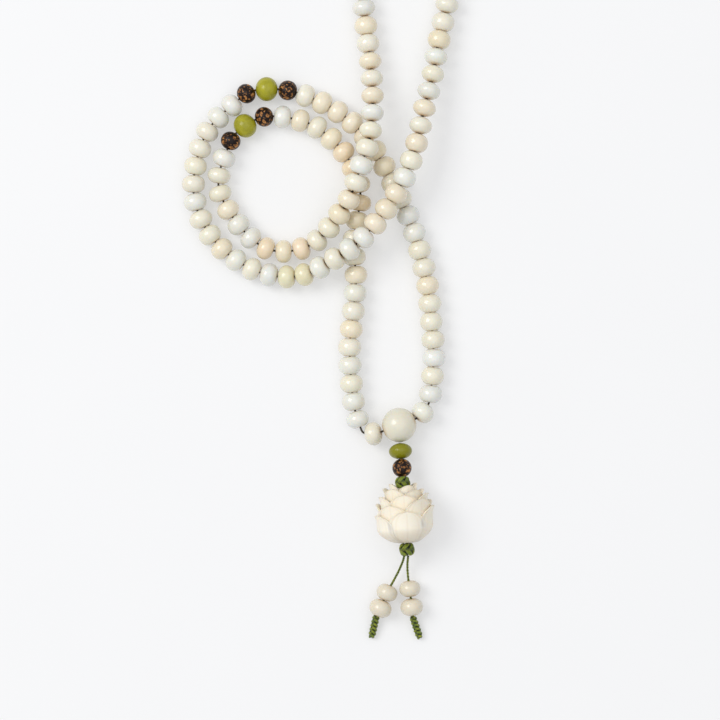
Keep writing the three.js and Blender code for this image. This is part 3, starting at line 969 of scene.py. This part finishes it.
def petal(row, tip, turn):
    """A cupped petal with a blunt point, and how much painted shade each of its points takes."""
    foot = row["foot"]
    r_foot, r_belly, r_tip = row["radii"]
    fronts, backs, carving_shades = [], [], []
    for i in range(PETAL_UP + 1):
        u = i / PETAL_UP
        if u < BELLY:
            radius = r_foot + (r_belly - r_foot) * math.sin(0.5 * math.pi * u / BELLY) ** 0.8
            share = 0.72 + 0.28 * smooth(u / BELLY)
        else:
            t = (u - BELLY) / (1 - BELLY)
            radius = r_belly + (r_tip - r_belly) * t ** 2.2
            share = max(0.05, (1 - t ** 2.5) ** 0.62)
        half_width = 0.5 * row["width"] * share
        thick = FOOT_THICK + (TIP_THICK - FOOT_THICK) * max(0.0, (u - BELLY) / (1 - BELLY))
        for j in range(PETAL_ACROSS + 1):
            v = 2 * j / PETAL_ACROSS - 1
            line = max(0.0, math.cos(7 * math.pi * v)) ** 8
            rim = max(0.0, 1 - abs(abs(v) - 0.84) / 0.1) * min(1.0, 5 * u)
            curl = 0.35 * u ** 3 * abs(v) ** 3
            outer = radius + curl - 0.05 * line - 0.07 * rim - 0.22 * (1 - u) * v * v
            inner = outer - thick * (1 - 0.45 * v * v)
            height = foot + (tip - foot) * u
            angle = turn + v * half_width / radius
            for face, r in ((fronts, outer), (backs, inner)):
                face.append((r * math.sin(angle), height, r * math.cos(angle)))
            # Painted shade in the grooves and at the rims, towards the foot and towards the sides.
            carving_shades.append(0.3 * line + 0.4 * rim + 0.9 * (1 - u) ** 3 + 0.25 * abs(v) ** 6)
    across = PETAL_ACROSS + 1
    back = len(fronts)
    faces = []
    for i in range(PETAL_UP):
        for j in range(PETAL_ACROSS):
            a = i * across + j
            faces.append((a, a + 1, a + across + 1, a + across))
            b = back + a
            faces.append((b, b + across, b + across + 1, b + 1))
    rim = [*range(across)]
    rim += [i * across + PETAL_ACROSS for i in range(1, PETAL_UP + 1)]
    rim += [PETAL_UP * across + j for j in range(PETAL_ACROSS - 1, -1, -1)]
    rim += [i * across for i in range(PETAL_UP - 1, 0, -1)]
    for a, b in zip(rim, rim[1:] + rim[:1]):
        faces.append((a, back + a, back + b, b))
    points = fronts + backs
    # The back of the petal takes painted shade all over.
    return (points, facing_out(points, faces)), carving_shades + [0.6] * back


bulb = lathe(BULB, 48)
# The bulb, inside the petals, takes deep painted shade.
lotus_parts, lotus_carving_shades = [bulb], [0.8] * len(bulb[0])
for row in ROWS:
    for i, tip in enumerate(row["tips"]):
        shape, carving_shades = petal(row, tip, FULL * i / len(row["tips"]) + math.radians(row["turn"]))
        lotus_parts.append(shape)
        lotus_carving_shades += carving_shades
lotus = make("carved_lotus_bead", gathered(lotus_parts), CARVED,
             frame_at(LOTUS_PLACE, LOTUS_UP), crease=40)
# Painted shade for the carved material to darken and warm.
paint(lotus, "carving_shade", lotus_carving_shades)
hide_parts("lotus_bead")
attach(lotus, "lotus")

# ------------------------------------------------------------------ tails

# Half the length and the radius of each bead on a tail.
TAIL_BEADS = {"upper": (2.7, 3.7), "lower": (2.9, 3.95)}
WRAP_HALF, WRAP_RADIUS, WRAP_THREAD, WRAP_PITCH = 4.0, 1.4, 0.42, 2.9
WRAP_CORE_RADIUS, WRAP_CORE_INSET = 0.7, 0.3

for side, tail in TAILS.items():
    tail_beads = [
        pendant_bead(f"turned_{side}_tail_bead_{level}", f"tail_bead_{side}_{level}",
                     f"{side}_tail_{level}_bead", half, radius, PEARL, "tail_bead",
                     tail[level], tail["line"], TAIL_TONE, face=1.6, bore=0.85, power=2.2)
        for level, (half, radius) in TAIL_BEADS.items()
    ]
    line = Vector(tail["wrap_line"]).normalized()
    ends = [Vector(tail["wrap"]) + line * (WRAP_HALF * way) for way in (-1, -0.33, 0.33, 1)]
    wrap_route = Route([tuple(p) for p in ends], closed=False)
    strands, overs = braid(wrap_route, 0, wrap_route.length, WRAP_RADIUS, WRAP_THREAD,
                           WRAP_PITCH, taper=0.35)
    inner = wrap_route.stretch(WRAP_CORE_INSET, wrap_route.length - WRAP_CORE_INSET, 0.5)[1]
    core = sweep(inner, WRAP_CORE_RADIUS, 12)
    wrap = make(f"wound_end_{side}", gathered([strands, core]), BRAID)
    # Painted shade where strands dive under; the core between the passes takes full painted shade.
    paint(wrap, "over", overs + [-1.0] * len(core[0]))
    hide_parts(f"end_wrap_{side}")
    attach(wrap, f"{side}_tail")
    cord, route = tail_pieces[side]
    path = [tuple(p * MM) for p in route.stretch(0, route.length, 0.5)[1]]

# ------------------------------------------------------------------ floor and light

FLOOR_HALF = 3.0

floor_mesh = bpy.data.meshes.new("floor")
floor_mesh.from_pydata([(x * FLOOR_HALF, y * FLOOR_HALF, 0)
                        for x, y in ((-1, -1), (1, -1), (1, 1), (-1, 1))], [], [(0, 1, 2, 3)])
floor = bpy.data.objects.new("floor", floor_mesh)
bpy.context.scene.collection.objects.link(floor)
paper = Shade("paper", roughness=0.9, specular_ior_level=0.1, emission_strength=0.37)
paper.colour(paper.mix(paper.noise(0.02, 2.0), (0.495, 0.495, 0.495), (0.505, 0.505, 0.505)))
paper.shader.inputs["Emission Color"].default_value = (1, 1, 1, 1)
floor_mesh.materials.append(paper.material)


def soft_light(name, direction, distance, size, power, colour=(1, 1, 1)):
    """A square of light that faces the middle of the object."""
    data = bpy.data.lights.new(name, "AREA")
    data.shape, data.size, data.energy, data.color = "SQUARE", size, power, colour
    light = bpy.data.objects.new(name, data)
    centre = Vector(VIEW_CENTRE) * MM
    towards = Vector(direction).normalized()
    light.location = centre + towards * distance
    light.rotation_mode = "QUATERNION"
    light.rotation_quaternion = towards.to_track_quat("Z", "Y")
    bpy.context.scene.collection.objects.link(light)


soft_light("window", (-0.6, 0.3, 0.78), 2.4, 1.2, 26.5, (1.0, 0.99, 0.97))
soft_light("overhead", (0.1, 0.1, 1.0), 2.4, 3.0, 20.5)

world = bpy.data.worlds.new("studio")
world.use_nodes = True
world.node_tree.nodes["Background"].inputs["Color"].default_value = (0.93, 0.95, 1.0, 1)
world.node_tree.nodes["Background"].inputs["Strength"].default_value = 0.6
bpy.context.scene.world = world
bpy.context.scene.view_settings.view_transform = "Standard"
